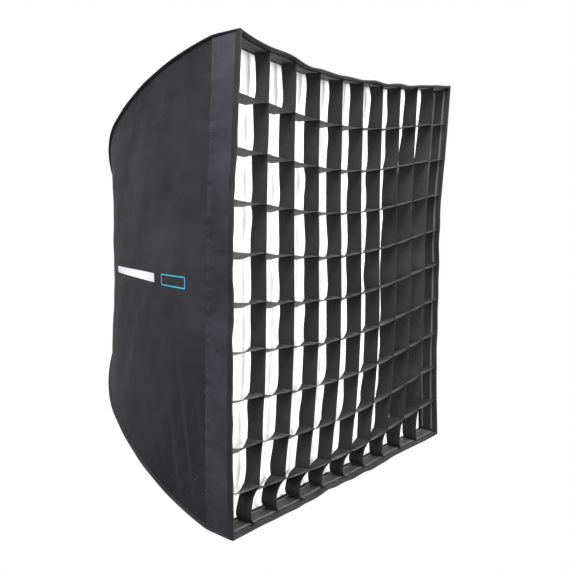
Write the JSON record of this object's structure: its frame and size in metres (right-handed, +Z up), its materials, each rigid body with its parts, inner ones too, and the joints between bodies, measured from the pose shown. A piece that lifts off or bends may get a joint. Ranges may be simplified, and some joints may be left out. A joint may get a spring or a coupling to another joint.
{
  "type": "umbrella softbox with egg-crate grid",
  "caption": "Square umbrella-frame softbox: black cloth shell on folding ribs, white front diffuser and a soft egg-crate grid held in the front lip.",
  "frame": {"origin": "free end of the umbrella shaft, on the shaft's axis", "axes": "+Z up, +Y from the open front back to the hub, +X to the right seen from the front; the front faces -Y"},
  "size_m": [0.8036, 0.543, 0.8036],
  "materials": {
    "shell_cloth": "black woven nylon, silvered inside",
    "lip_cloth": "black woven nylon",
    "binding_tape": "black ribbed tape",
    "loop_tape": "black napped loop tape",
    "hook_tape": "black hook tape",
    "grid_cloth": "black cloth strips",
    "diffuser_cloth": "white translucent nylon",
    "sprung_steel": "black coated spring rod",
    "plated_steel": "plated",
    "bright_steel": "bright plated tube",
    "black_plastic": "moulded, fine satin",
    "zip_plastic": "moulded teeth",
    "zip_metal": "black enamel"
  },
  "bodies": {
    "shell_and_shaft": {"panel_left": "shell_cloth", "panel_right": "shell_cloth", "panel_top": "shell_cloth", "panel_bottom": "shell_cloth", "front_lip": "lip_cloth", "rim_binding": "binding_tape", "corner_bindings": "binding_tape", "tip_pockets": "binding_tape", "zip_tapes": "binding_tape", "grid_loop_tape": "loop_tape", "diffuser_loop_tape": "loop_tape", "grid_hook_tape": "hook_tape", "diffuser_hook_tape": "hook_tape", "grid_border": "grid_cloth", "grid_strips_upright": "grid_cloth", "grid_strips_level": "grid_cloth", "front_diffuser": "diffuser_cloth", "rib_hub": "black_plastic", "ferrule_cap": "black_plastic", "shaft_plug": "black_plastic", "hub_pins": "plated_steel", "ferrule_washer": "plated_steel", "stop_ring": "plated_steel", "catch_spring": "plated_steel", "shaft": "bright_steel", "zip_teeth": "zip_plastic"},
    "runner": {"runner": "black_plastic"},
    "rib_top_left": {"rib_rod_top_left": "sprung_steel", "rib_eye_top_left": "plated_steel", "rib_bracket_top_left": "plated_steel", "bracket_pin_top_left": "plated_steel", "rib_tip_top_left": "black_plastic"},
    "stretcher_top_left": {"stretcher_top_left": "plated_steel"},
    "rib_top_right": {"rib_rod_top_right": "sprung_steel", "rib_eye_top_right": "plated_steel", "rib_bracket_top_right": "plated_steel", "bracket_pin_top_right": "plated_steel", "rib_tip_top_right": "black_plastic"},
    "stretcher_top_right": {"stretcher_top_right": "plated_steel"},
    "rib_bottom_left": {"rib_rod_bottom_left": "sprung_steel", "rib_eye_bottom_left": "plated_steel", "rib_bracket_bottom_left": "plated_steel", "bracket_pin_bottom_left": "plated_steel", "rib_tip_bottom_left": "black_plastic"},
    "stretcher_bottom_left": {"stretcher_bottom_left": "plated_steel"},
    "rib_bottom_right": {"rib_rod_bottom_right": "sprung_steel", "rib_eye_bottom_right": "plated_steel", "rib_bracket_bottom_right": "plated_steel", "bracket_pin_bottom_right": "plated_steel", "rib_tip_bottom_right": "black_plastic"},
    "stretcher_bottom_right": {"stretcher_bottom_right": "plated_steel"},
    "catch": {"catch_button": "bright_steel"},
    "zip_slider": {"zip_slider": "zip_metal"},
    "zip_pull": {"zip_pull": "zip_metal"}
  },
  "joints": [
    {"name": "runner_slide", "type": "slide", "parent": "shell_and_shaft", "child": "runner", "axis": [0, -1, 0], "range_m": [0, 0.2158], "deforming": ["panel_left", "panel_right", "panel_top", "panel_bottom", "front_lip", "rim_binding", "corner_bindings", "tip_pockets", "zip_tapes", "grid_loop_tape", "diffuser_loop_tape", "grid_hook_tape", "diffuser_hook_tape", "grid_border", "grid_strips_upright", "grid_strips_level", "front_diffuser", "zip_teeth"]},
    {"name": "rib_hinge_top_left", "type": "hinge", "parent": "shell_and_shaft", "child": "rib_top_left", "pos_m": [-0.0099, 0.42016, 0.0099], "axis": [0.7071, 0, 0.7071], "range_deg": [0, 42.1]},
    {"name": "stretcher_hinge_top_left", "type": "hinge", "parent": "rib_top_left", "child": "stretcher_top_left", "pos_m": [-0.13567, 0.37689, 0.13567], "axis": [0.7071, 0, 0.7071], "range_deg": [-84.2, 0]},
    {"name": "rib_hinge_top_right", "type": "hinge", "parent": "shell_and_shaft", "child": "rib_top_right", "pos_m": [0.0099, 0.42016, 0.0099], "axis": [0.7071, 0, -0.7071], "range_deg": [0, 42.1]},
    {"name": "stretcher_hinge_top_right", "type": "hinge", "parent": "rib_top_right", "child": "stretcher_top_right", "pos_m": [0.13567, 0.37689, 0.13567], "axis": [0.7071, 0, -0.7071], "range_deg": [-84.2, 0]},
    {"name": "rib_hinge_bottom_left", "type": "hinge", "parent": "shell_and_shaft", "child": "rib_bottom_left", "pos_m": [-0.0099, 0.42016, -0.0099], "axis": [-0.7071, 0, 0.7071], "range_deg": [0, 42.1]},
    {"name": "stretcher_hinge_bottom_left", "type": "hinge", "parent": "rib_bottom_left", "child": "stretcher_bottom_left", "pos_m": [-0.13567, 0.37689, -0.13567], "axis": [-0.7071, 0, 0.7071], "range_deg": [-84.2, 0]},
    {"name": "rib_hinge_bottom_right", "type": "hinge", "parent": "shell_and_shaft", "child": "rib_bottom_right", "pos_m": [0.0099, 0.42016, -0.0099], "axis": [-0.7071, 0, -0.7071], "range_deg": [0, 42.1]},
    {"name": "stretcher_hinge_bottom_right", "type": "hinge", "parent": "rib_bottom_right", "child": "stretcher_bottom_right", "pos_m": [0.13567, 0.37689, -0.13567], "axis": [-0.7071, 0, -0.7071], "range_deg": [-84.2, 0]},
    {"name": "catch_press", "type": "slide", "parent": "shell_and_shaft", "child": "catch", "axis": [0, 0, -1], "range_m": [0, 0.0025], "stiffness_N_per_m": 300, "springref_m": -0.002, "deforming": ["catch_spring"]},
    {"name": "zip_slide", "type": "slide", "parent": "shell_and_shaft", "child": "zip_slider", "axis": [1, 0, 0], "range_m": [0, 0.25]},
    {"name": "zip_pull_hinge", "type": "hinge", "parent": "zip_slider", "child": "zip_pull", "pos_m": [-0.125, 0.13108, -0.34875], "axis": [0, -0.936, -0.3519], "range_deg": [-75, 75]}
  ],
  "couplings": [
    {"joint": "rib_hinge_top_left", "follows": "runner_slide", "rad_per_m": 3.3969},
    {"joint": "stretcher_hinge_top_left", "follows": "runner_slide", "rad_per_m": -6.7937},
    {"joint": "rib_hinge_top_right", "follows": "runner_slide", "rad_per_m": 3.3969},
    {"joint": "stretcher_hinge_top_right", "follows": "runner_slide", "rad_per_m": -6.7937},
    {"joint": "rib_hinge_bottom_left", "follows": "runner_slide", "rad_per_m": 3.3969},
    {"joint": "stretcher_hinge_bottom_left", "follows": "runner_slide", "rad_per_m": -6.7937},
    {"joint": "rib_hinge_bottom_right", "follows": "runner_slide", "rad_per_m": 3.3969},
    {"joint": "stretcher_hinge_bottom_right", "follows": "runner_slide", "rad_per_m": -6.7937}
  ]
}
